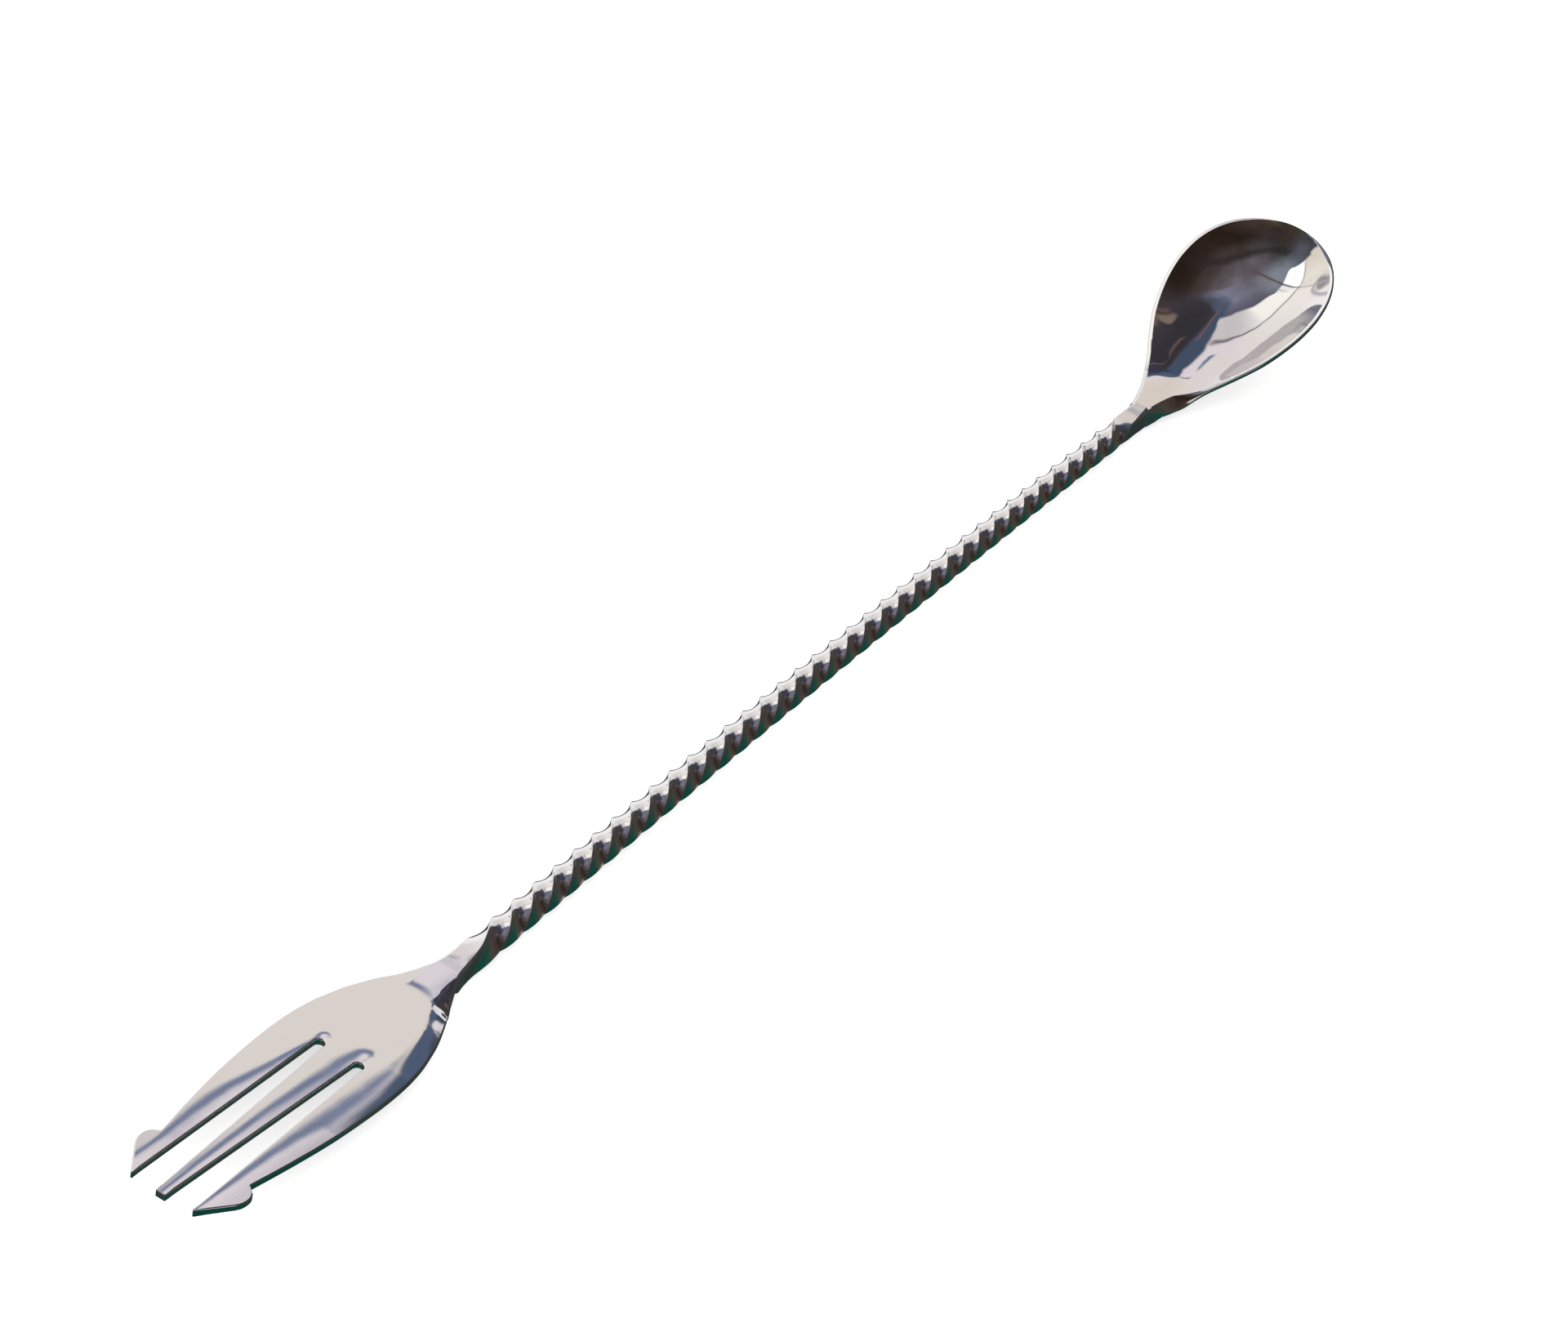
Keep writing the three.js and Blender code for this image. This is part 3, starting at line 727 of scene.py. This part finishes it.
class Graph:
    """Small helper for building node graphs in code."""

    def __init__(self, tree):
        self.tree = tree

    def new(self, kind, **props):
        node = self.tree.nodes.new(kind)
        for name, value in props.items():
            setattr(node, name, value)
        return node

    def put(self, socket, value):
        if isinstance(value, bpy.types.NodeSocket):
            self.tree.links.new(value, socket)
        else:
            socket.default_value = value

    def math(self, operation, *values):
        node = self.new("ShaderNodeMath", operation=operation)
        for socket, value in zip(node.inputs, values):
            self.put(socket, value)
        return node.outputs[0]

    def times(self, a, b):
        return self.math("MULTIPLY", a, b)

    def scale(self, vector, factor):
        node = self.new("ShaderNodeVectorMath", operation="SCALE")
        self.put(node.inputs[0], vector)
        self.put(node.inputs["Scale"], factor)
        return node.outputs[0]

    def map_range(self, x, low, high, **props):
        node = self.new("ShaderNodeMapRange", clamp=True, **props)
        self.put(node.inputs["Value"], x)
        node.inputs["From Min"].default_value = low
        node.inputs["From Max"].default_value = high
        return node.outputs[0]

    def step(self, start, end, x):
        """Smooth 0..1 as x goes from start to end."""
        return self.map_range(x, start, end, interpolation_type="SMOOTHSTEP")

    def fade(self, start, end, x):
        """Smooth 1..0 as x goes from start to end."""
        return self.math("SUBTRACT", 1.0, self.step(start, end, x))

    def within(self, x, rise, fall):
        """1 between the rise and the fall, each a (start, end)."""
        return self.times(self.step(*rise, x), self.fade(*fall, x))

    def beyond(self, a, b, blur):
        """1 where a exceeds b, blurred either way."""
        return self.step(-blur, blur, self.math("SUBTRACT", a, b))

    def mix(self, factor, a, b):
        node = self.new("ShaderNodeMix", data_type="RGBA", blend_type="MIX", clamp_factor=True)
        self.put(node.inputs[0], factor)
        for socket, value in ((node.inputs[6], a), (node.inputs[7], b)):
            self.put(socket, value if isinstance(value, bpy.types.NodeSocket) else (*value, 1))
        return node.outputs[2]

    def curve(self, x, points, y_range):
        """y as a smooth curve of x through points, which are sorted by x."""
        (x0, x1), (y0, y1) = (points[0][0], points[-1][0]), y_range
        share = self.map_range(x, x0, x1)
        node = self.new("ShaderNodeFloatCurve")
        curve = node.mapping.curves[0]
        while len(curve.points) < len(points):
            curve.points.new(0.5, 0.5)
        for point, (px, py) in zip(curve.points, points):
            point.location = ((px - x0) / (x1 - x0), (py - y0) / (y1 - y0))
            point.handle_type = "AUTO_CLAMPED"
        node.mapping.update()
        self.put(node.inputs["Value"], share)
        return self.math("MULTIPLY_ADD", node.outputs[0], y1 - y0, y0)

    def ramp(self, x, stops):
        """Colour along x; stops are (x, r, g, b) or (x, r, g, b, gain), display colours."""
        x0, x1 = stops[0][0], stops[-1][0]
        share = self.map_range(x, x0, x1)
        node = self.new("ShaderNodeValToRGB")
        elements = node.color_ramp.elements
        while len(elements) < len(stops):
            elements.new(0.5)
        for element, (at, *colour) in zip(elements, stops):
            element.position = (at - x0) / (x1 - x0)
            element.color = (*linear(*colour), 1)
        self.put(node.inputs[0], share)
        return node.outputs[0]


# ---- steel -----------------------------------------------------------------------------
def steel(name, tint, rough, lines, grain, wave):
    """Polished stainless steel.

    lines is the height of the polishing lines and wave that of the slow waviness, in mm;
    grain is the noise scale per axis that draws the lines out along X.
    """
    mat = bpy.data.materials.new(name)
    mat.use_nodes = True
    g = Graph(mat.node_tree)
    bsdf = mat.node_tree.nodes["Principled BSDF"]
    millimetres = g.scale(g.new("ShaderNodeTexCoord").outputs["Object"], 1000.0)

    def noise(scale, stretch=(1, 1, 1), detail=3.0, roughness=0.5):
        mapping = g.new("ShaderNodeMapping")
        g.put(mapping.inputs["Vector"], millimetres)
        mapping.inputs["Scale"].default_value = stretch
        node = g.new("ShaderNodeTexNoise")
        g.put(node.inputs["Vector"], mapping.outputs[0])
        node.inputs["Scale"].default_value = scale
        node.inputs["Detail"].default_value = detail
        node.inputs["Roughness"].default_value = roughness
        return node.outputs["Fac"]

    cloud = noise(scale=0.35, detail=4)
    fine = noise(scale=2.2, stretch=grain, detail=5, roughness=0.65)
    hair = noise(scale=7.0, stretch=grain, detail=2, roughness=0.6)
    colour = g.mix(cloud, tuple(c * 0.965 for c in tint), tint)
    haze = g.step(0.58, 0.8, cloud)  # a trace of handling haze, rougher
    g.put(bsdf.inputs["Base Color"], colour)
    bsdf.inputs["Metallic"].default_value = 1.0
    roughness = g.math("MULTIPLY_ADD", fine, rough * 0.9, rough * 0.55)
    roughness = g.math("MULTIPLY_ADD", haze, rough * 0.6, roughness)
    g.put(bsdf.inputs["Roughness"], roughness)
    height = g.times(hair, lines)
    height = g.math("MULTIPLY_ADD", fine, lines * 2.0, height)
    height = g.math("MULTIPLY_ADD", noise(scale=0.16, detail=1), wave, height)
    bump = g.new("ShaderNodeBump")
    bump.inputs["Strength"].default_value = 1.0
    bump.inputs["Distance"].default_value = 1e-3
    g.put(bump.inputs["Height"], height)
    g.put(bsdf.inputs["Normal"], bump.outputs[0])
    return mat


# ---- surround mirrored by the steel ----------------------------------------------------
# Azimuth and elevation are in degrees; colours are 0..255 display colours.
# the dim room by elevation, at four azimuths: brown at eye level, grey overhead, green below
ROOM_LEFT = [
    (-90, 12, 56, 49), (-55, 16, 62, 56), (-30, 14, 70, 61), (-14, 18, 72, 62),
    (-2, 38, 72, 63), (8, 66, 66, 58), (20, 70, 59, 51), (31, 62, 50, 45), (44, 42, 31, 25),
    (50, 48, 37, 32), (56, 62, 54, 50), (64, 72, 62, 63), (71, 91, 83, 86),
    (82, 103, 98, 104), (90, 118, 115, 126),
]
ROOM_MIDDLE = [
    (-90, 12, 56, 49), (-60, 18, 60, 53), (-46, 46, 60, 57), (-30, 48, 60, 57),
    (-8, 58, 62, 58), (12, 68, 62, 56), (30, 66, 58, 58), (50, 68, 62, 68), (60, 78, 74, 86),
    (70, 102, 103, 122), (76, 122, 123, 142), (83, 119, 121, 139), (90, 118, 115, 126),
]
ROOM_COOL = [
    (-90, 14, 50, 46), (-20, 60, 70, 70), (8, 60, 60, 62), (24, 82, 84, 92),
    (40, 94, 101, 114), (50, 122, 128, 142), (60, 128, 136, 148), (70, 118, 118, 130),
    (80, 112, 110, 120), (90, 118, 115, 126),
]
ROOM_RIGHT = [
    (-90, 14, 50, 46), (-20, 60, 70, 70), (5, 46, 42, 40), (18, 76, 72, 54), (25, 64, 55, 45),
    (32, 58, 48, 46), (44, 56, 51, 50), (52, 68, 66, 70), (60, 88, 83, 90),
    (68, 106, 100, 107), (76, 97, 91, 96), (84, 104, 98, 106), (90, 118, 115, 126),
]
# window wall: top and bottom as (azimuth, elevation), left and right as (elevation, azimuth)
WINDOW_TOP = [
    (-10, 64), (12, 64), (22, 64), (30, 64.5), (45, 65), (60, 64.8), (74, 63), (85, 60),
    (91, 57.5), (98, 55.6), (106, 53.5), (113, 52), (120, 50), (135, 40),
]
WINDOW_LEFT = [
    (-60, 30), (-30, 10), (-12, -5), (0, -6), (12, -4), (20, -1), (30, 3), (34, 6), (36, 11),
    (37.5, 18), (40, 22), (43, 24.5), (47, 26.3), (50, 26.8), (53, 26.2), (58, 24),
    (63, 20.5), (66, 19), (70, 17), (75, 10),
]
WINDOW_RIGHT = [
    (-60, 110), (-10, 121), (20, 121.5), (35, 120.5), (42, 121), (47, 123), (52, 121),
    (58, 117), (75, 100),
]
WINDOW_BOTTOM = [(-10, -10), (20, -13), (50, -15), (80, -15), (130, -8)]
# lines across the window (azimuth, elevation)
SILL = [
    (20, 54), (29, 52), (37, 49), (47, 45.2), (56, 42.6), (62, 42.4), (68, 42.8), (77, 41.2),
    (87, 39), (92, 36.3), (99, 34.4), (111, 33), (124, 31),
]
RAIL = [(14, 42.6), (22, 42.8), (28, 42.6), (34, 42.3), (40, 42), (46, 41.6)]
POLE = [
    (86, 22), (89, 30), (91, 35), (93, 39.5), (97, 46), (102, 52), (108, 57.3), (117, 63.5),
    (127, 68), (140, 71.6), (154, 74), (180, 76.5),
]
# pane colours by azimuth: above the sill, below it, and low down
PANE_UPPER = [
    (20, 214, 208, 212), (36, 206, 201, 204), (44, 208, 204, 208), (52, 226, 222, 224),
    (60, 252, 250, 245, 1.03), (90, 255, 253, 247, 1.05), (97, 232, 226, 224),
    (104, 198, 191, 196), (130, 182, 178, 184),
]
PANE_LOWER = [
    (-10, 244, 246, 252), (6, 230, 226, 228), (20, 224, 214, 206), (30, 229, 222, 217),
    (42, 229, 223, 222), (56, 239, 234, 232), (72, 247, 242, 238), (86, 250, 244, 236),
    (93, 236, 229, 222), (100, 245, 237, 227), (120, 226, 216, 206), (130, 214, 208, 206),
]
PANE_LOWEST = [
    (-10, 235, 238, 245), (30, 248, 248, 250, 1.03), (70, 250, 250, 252, 1.05),
    (95, 232, 224, 214), (130, 222, 212, 202),
]


class Sky(Graph):
    """Graph that paints by azimuth and elevation."""

    def __init__(self, tree):
        super().__init__(tree)
        self.direction = self.new("ShaderNodeTexCoord").outputs["Generated"]
        xyz = self.new("ShaderNodeSeparateXYZ")
        self.put(xyz.inputs[0], self.direction)
        x, y, z = xyz.outputs
        self.az = self.times(self.math("ARCTAN2", y, x), 180 / math.pi)
        self.el = self.times(self.math("ARCSINE", z), 180 / math.pi)

    def blob(self, base, at, size, colour, strength, soft, tilt=0.0):
        """Soft ellipse at (azimuth, elevation), with half-sizes and a tilt in degrees."""
        x = self.math("SUBTRACT", self.az, at[0])
        y = self.math("SUBTRACT", self.el, at[1])
        cos, sin = math.cos(math.radians(tilt)), math.sin(math.radians(tilt))
        wide, high = size
        xr = self.math("MULTIPLY_ADD", y, sin / wide, self.times(x, cos / wide))
        yr = self.math("MULTIPLY_ADD", y, cos / high, self.times(x, -sin / high))
        radius = self.math("SQRT", self.math("ADD", self.times(xr, xr), self.times(yr, yr)))
        mask = self.fade(1 - 0.5 * soft, 1 + 0.5 * soft, radius)
        return self.mix(self.times(mask, strength), base, linear(*colour))

    def band(self, base, path, width, colour, span, strength, soft, fade=2.0, upright=False):
        """Line along a path of (azimuth, elevation), or (elevation, azimuth) if upright.

        It shows within span of the path's first coordinate, its ends blurred by fade.
        """
        u, w = (self.el, self.az) if upright else (self.az, self.el)
        ys = [p[1] for p in path]
        centre = self.curve(u, path, (min(ys) - 1, max(ys) + 1))
        distance = self.math("ABSOLUTE", self.math("SUBTRACT", w, centre))
        mask = self.fade(width * (0.5 - 0.5 * soft), width * (0.5 + 0.5 * soft), distance)
        mask = self.times(mask, self.step(span[0] - fade, span[0] + fade, u))
        mask = self.times(mask, self.fade(span[1] - fade, span[1] + fade, u))
        return self.mix(self.times(mask, strength), base, linear(*colour))


def paint_room(sky):
    az, el = sky.az, sky.el
    noise = sky.new("ShaderNodeTexNoise")
    sky.put(noise.inputs["Vector"], sky.direction)
    noise.inputs["Scale"].default_value = 2.6
    noise.inputs["Detail"].default_value = 3
    left, middle, cool, right = (
        sky.ramp(el, stops) for stops in (ROOM_LEFT, ROOM_MIDDLE, ROOM_COOL, ROOM_RIGHT))
    base = sky.mix(sky.step(-50, -35, az), left, middle)
    base = sky.mix(sky.step(60, 112, az), base, cool)
    base = sky.mix(sky.step(126, 158, az), base, right)
    base = sky.mix(sky.step(-180, -138, az), right, base)
    mottle = sky.step(0.34, 0.62, noise.outputs["Fac"])
    return sky.scale(base, sky.math("MULTIPLY_ADD", mottle, 0.24, 0.87))


def paint_figure(sky, base):
    """A dark figure beside the window, with cool edges and thin warm lines."""
    arch = dict(width=7, colour=(44, 41, 39), strength=0.75, soft=0.9, fade=4)
    arch_low = [
        (-180, 57), (-150, 63), (-130, 64.5), (-110, 64), (-95, 61), (-84, 57.5), (-75, 52.5),
        (-64, 47),
    ]
    base = sky.band(base, arch_low, span=(-190, -64), **arch)
    arch_high = [(140, 42), (150, 46), (165, 51.5), (180, 57)]
    base = sky.band(base, arch_high, span=(144, 190), **arch)
    base = sky.blob(
        base, at=(-10, 55), size=(30, 15.5), colour=(60, 56, 62), strength=0.95, soft=0.35)
    base = sky.blob(
        base, at=(-12, 57), size=(18, 11.5), colour=(52, 50, 57), strength=0.85, soft=1.0)
    base = sky.blob(
        base, at=(3, 73), size=(24, 4.8), colour=(88, 98, 122), strength=0.85, soft=1.0)
    cool_edge = [(-38, 60), (-30, 66), (-20, 69.5), (-5, 71), (8, 71), (22, 69.5)]
    base = sky.band(
        base, cool_edge, width=4.0, colour=(76, 83, 102), span=(-32, 20), strength=0.7, soft=0.9)
    base = sky.blob(
        base, at=(18, 52), size=(11, 20), colour=(70, 84, 108), strength=0.9, soft=0.6)
    base = sky.blob(
        base, at=(1, 39), size=(22, 11), colour=(56, 60, 74), strength=0.9, soft=0.45)
    base = sky.blob(
        base, at=(16, 40.5), size=(9, 5), colour=(86, 102, 132), strength=0.75, soft=0.9)
    base = sky.blob(
        base, at=(10, 34), size=(9, 5), colour=(84, 98, 124), strength=0.7, soft=1.0, tilt=20)
    warm_arc = [(-16, 42), (-9, 48), (-4, 52.5), (1, 55.4), (6, 55.2), (11, 53)]
    base = sky.band(
        base, warm_arc, width=2.6, colour=(112, 90, 84), span=(-14, -3), strength=0.8,
        soft=0.9, fade=2.5)
    warm_upright = [(50, 10), (52, 11.6), (55, 12.8), (60, 11.2), (65, 9), (70, 10)]
    base = sky.band(
        base, warm_upright, width=3.4, colour=(116, 92, 86), span=(55.5, 68), strength=0.85,
        soft=0.9, fade=1.5, upright=True)
    base = sky.blob(
        base, at=(-29.6, 45), size=(3.0, 4.6), colour=(134, 118, 106), strength=0.85,
        soft=0.6, tilt=-20)
    return sky.band(
        base, [(37, -37.5), (48, -33)], width=1.4, colour=(112, 88, 74), span=(36, 45),
        strength=0.7, soft=0.8, upright=True)


def paint_window(sky, base):
    az, el = sky.az, sky.el
    top = sky.curve(az, WINDOW_TOP, y_range=(35, 75))
    left = sky.curve(el, WINDOW_LEFT, y_range=(-10, 35))
    right = sky.curve(el, WINDOW_RIGHT, y_range=(95, 130))
    bottom = sky.curve(az, WINDOW_BOTTOM, y_range=(-35, 0))
    window = sky.beyond(top, el, blur=1.1)
    window = sky.times(window, sky.beyond(az, left, blur=1.6))
    window = sky.times(window, sky.beyond(right, az, blur=1.4))
    window = sky.times(window, sky.beyond(el, bottom, blur=4))
    sill = sky.curve(az, SILL, y_range=(30, 62))
    upper, lower, lowest = (
        sky.ramp(az, stops) for stops in (PANE_UPPER, PANE_LOWER, PANE_LOWEST))
    pane = sky.mix(sky.fade(4, 24, el), lower, lowest)
    # a second, lilac pane low on the left, over a blue rail
    rail = sky.curve(az, RAIL, y_range=(38, 46))
    lilac = sky.times(sky.beyond(el, rail, blur=0.6), sky.within(az, (16, 22), (38, 50)))
    lilac = sky.times(lilac, sky.fade(48, 56, el))
    pane = sky.mix(lilac, pane, linear(228, 221, 227))
    pane = sky.mix(sky.beyond(el, sill, blur=0.7), pane, upper)
    low_arc = [(70, 10), (74, 15), (78, 19.5), (83, 22), (88, 21), (93, 17.5)]
    pane = sky.band(
        pane, low_arc, width=2.6, colour=(176, 172, 184), span=(70, 92), strength=0.85, soft=0.8)
    pane = sky.blob(
        pane, at=(85, 17.6), size=(6.5, 2.6), colour=(122, 120, 130), strength=0.8, soft=0.8,
        tilt=5)
    pane = sky.band(
        pane, [(12, 84), (23, 87), (32, 90), (40, 93)], width=1.6, colour=(186, 180, 178),
        span=(13, 39), strength=0.8, soft=0.8, upright=True)
    # the brightest patch lies between the sill and the pole
    pole = sky.curve(az, POLE, y_range=(20, 78))
    below_pole = sky.beyond(pole, el, blur=1.2)
    above_sill = sky.times(sky.beyond(el, sill, blur=0.8), sky.step(92, 95, az))
    pane = sky.mix(sky.times(below_pole, above_sill), pane, linear(255, 255, 255, gain=1.25))
    return sky.mix(window, base, pane)


def paint_bars(sky, base):
    """Rail, sill and pole, over the window and the room."""
    base = sky.band(
        base, RAIL, width=2.2, colour=(104, 118, 152), span=(25.5, 34.5), strength=0.95, soft=0.6)
    base = sky.band(
        base, SILL, width=1.7, colour=(118, 114, 124), span=(28, 57), strength=0.95, soft=0.7,
        fade=3.0)
    sill = dict(path=SILL, strength=0.85, soft=0.8, fade=3.0)
    base = sky.band(base, width=2.0, colour=(150, 146, 152), span=(57, 94), **sill)
    base = sky.band(base, width=1.8, colour=(182, 176, 172), span=(94, 119), **sill)
    base = sky.blob(
        base, at=(97, 50.5), size=(4.2, 5.5), colour=(250, 250, 250), strength=0.9, soft=0.5,
        tilt=20)
    base = sky.band(
        base, POLE, width=3.0, colour=(92, 82, 88), span=(92, 178), strength=0.92, soft=0.6)
    above_pole = [
        (90, 45), (93, 49.5), (97, 55.5), (102, 60), (108, 63.5), (116, 67.5), (126, 71),
    ]
    return sky.band(
        base, above_pole, width=1.7, colour=(140, 133, 142), span=(92, 122), strength=0.6,
        soft=0.8, fade=3.0)


def paint_pale_walls(sky, base):
    """Soft pale patches at and below eye level, away from the window."""
    az, el = sky.az, sky.el
    from_window = sky.math("ABSOLUTE", sky.math("ADD", az, 10.0))
    back = sky.times(sky.step(128, 178, from_window), sky.within(el, (-32, -8), (0, 9)))
    base = sky.mix(sky.times(back, 0.9), base, linear(214, 210, 206))
    side = sky.within(az, (-128, -118), (-104, -92))
    side = sky.times(side, sky.within(el, (2, 8), (26, 33)))
    return sky.mix(sky.times(side, 0.85), base, linear(226, 222, 220))


def make_world():
    world = bpy.data.worlds.new("studio")
    bpy.context.scene.world = world
    world.use_nodes = True
    world.node_tree.nodes.clear()
    sky = Sky(world.node_tree)
    base = paint_room(sky)
    for paint in (paint_figure, paint_window, paint_bars, paint_pale_walls):
        base = paint(sky, base)

    ray = sky.new("ShaderNodeLightPath").outputs
    # what one polished face sees of another is mostly bright window: lift the dark
    # overhead there
    again = sky.times(sky.step(1.2, 1.8, ray["Glossy Depth"]), sky.step(48, 62, sky.el))
    base = sky.mix(sky.times(again, 0.72), base, linear(218, 211, 212))
    seen = sky.mix(ray["Is Glossy Ray"], (1.0, 1.0, 1.0), base)
    shown = sky.new("ShaderNodeBackground")
    sky.put(shown.inputs[0], seen)
    shown.inputs[1].default_value = 1.0
    lighting = sky.new("ShaderNodeBackground")
    lighting.inputs[0].default_value = (1.0, 0.995, 0.985, 1)
    lighting.inputs[1].default_value = 1.3
    either = sky.new("ShaderNodeMixShader")
    sky.put(either.inputs[0], ray["Is Diffuse Ray"])
    sky.put(either.inputs[1], shown.outputs[0])
    sky.put(either.inputs[2], lighting.outputs[0])
    sky.put(sky.new("ShaderNodeOutputWorld").inputs[0], either.outputs[0])


# ---- floor, light and camera -----------------------------------------------------------
CAMERA_AT = (-79.025, -50.074, 84.713)  # drawing units
CAMERA_RIGHT, CAMERA_FORWARD = (0.54835, -0.82181, 0.15472), (0.71211, 0.36189, -0.60161)
CAMERA_LENS = 102.298125  # mm, on a sensor 36 mm wide


def make_floor():
    bpy.ops.mesh.primitive_plane_add(size=14, location=(0, 0, 0))
    floor = bpy.context.object
    floor.name = "floor"
    mat = bpy.data.materials.new("pale_floor")
    mat.use_nodes = True
    inputs = mat.node_tree.nodes["Principled BSDF"].inputs
    inputs["Base Color"].default_value = (0.6, 0.6, 0.6, 1)
    inputs["Emission Color"].default_value = (1.0, 0.998, 0.994, 1)
    inputs["Emission Strength"].default_value = 0.62  # a light table: almost no shadow
    inputs["Roughness"].default_value = 0.9
    inputs["Specular IOR Level"].default_value = 0.0
    floor.data.materials.append(mat)
    floor.visible_glossy = False  # the steel mirrors the surround instead


def make_softbox():
    light = bpy.data.lights.new("softbox", "AREA")
    light.shape = "RECTANGLE"
    light.size, light.size_y = 0.9, 0.7
    light.energy = 0.35
    ob = bpy.data.objects.new("softbox", light)
    ob.location = (0.45, 0.7, 0.9)
    ob.rotation_euler = (-ob.location).to_track_quat("-Z", "Y").to_euler()
    ob.visible_glossy = False
    bpy.context.scene.collection.objects.link(ob)


def make_camera():
    camera = bpy.data.cameras.new("photo_angle")
    ob = bpy.data.objects.new("photo_angle", camera)
    forward = Vector(CAMERA_FORWARD).normalized()
    up = Vector(CAMERA_RIGHT).normalized().cross(forward).normalized()
    right = forward.cross(up).normalized()
    turned = Matrix((right, up, -forward)).transposed().to_4x4()
    ob.matrix_world = Matrix.Translation(Vector(place(*CAMERA_AT))) @ turned
    camera.sensor_fit, camera.sensor_width = "HORIZONTAL", 36.0
    camera.lens = CAMERA_LENS
    camera.clip_start, camera.clip_end = 0.01, 50
    bpy.context.scene.collection.objects.link(ob)
    bpy.context.scene.camera = ob


# ---- build -----------------------------------------------------------------------------
stem = make_rod("stem_twist", FORK_WELD[1], BOWL_WELD[0], TWIST_STATIONS)
fork_weld = make_rod("weld_band_fork", *FORK_WELD, WELD_STATIONS)
bowl_weld = make_rod("weld_band_bowl", *BOWL_WELD, WELD_STATIONS)
fork = make("fork_stamped", *fork_mesh())
bowl = make("bowl_pressed", *bowl_mesh())

SHEET_TINT = (0.90, 0.885, 0.875)
fork_steel = steel(
    "polished_steel_fork", SHEET_TINT, rough=0.05, lines=0.0006, grain=(0.06, 1, 1), wave=0.004)
rod_steel = steel(
    "polished_steel_rod", (0.88, 0.87, 0.86), rough=0.11, lines=0.0008, grain=(0.25, 1, 1),
    wave=0.0)
weld_steel = steel(
    "ground_weld_steel", (0.87, 0.86, 0.85), rough=0.14, lines=0.0012, grain=(0.12, 1, 1),
    wave=0.0)
bowl_steel = steel(
    "polished_steel_bowl", SHEET_TINT, rough=0.035, lines=0.0002, grain=(0.15, 1, 1), wave=0.006)

for piece, material, node in (
    (fork, fork_steel, "fork_head"),
    (fork_weld, weld_steel, "fork_weld"),
    (stem, rod_steel, "twisted_stem"),
    (bowl_weld, weld_steel, "bowl_weld"),
    (bowl, bowl_steel, "spoon_bowl"),
):
    piece.data.materials.append(material)
    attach(piece, "root")
    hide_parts(node)

make_floor()
make_world()
make_softbox()
make_camera()
view = bpy.context.scene.view_settings
view.view_transform, view.look = "Standard", "None"
view.exposure, view.gamma = 0.0, 1.0

bpy.context.view_layer.update()
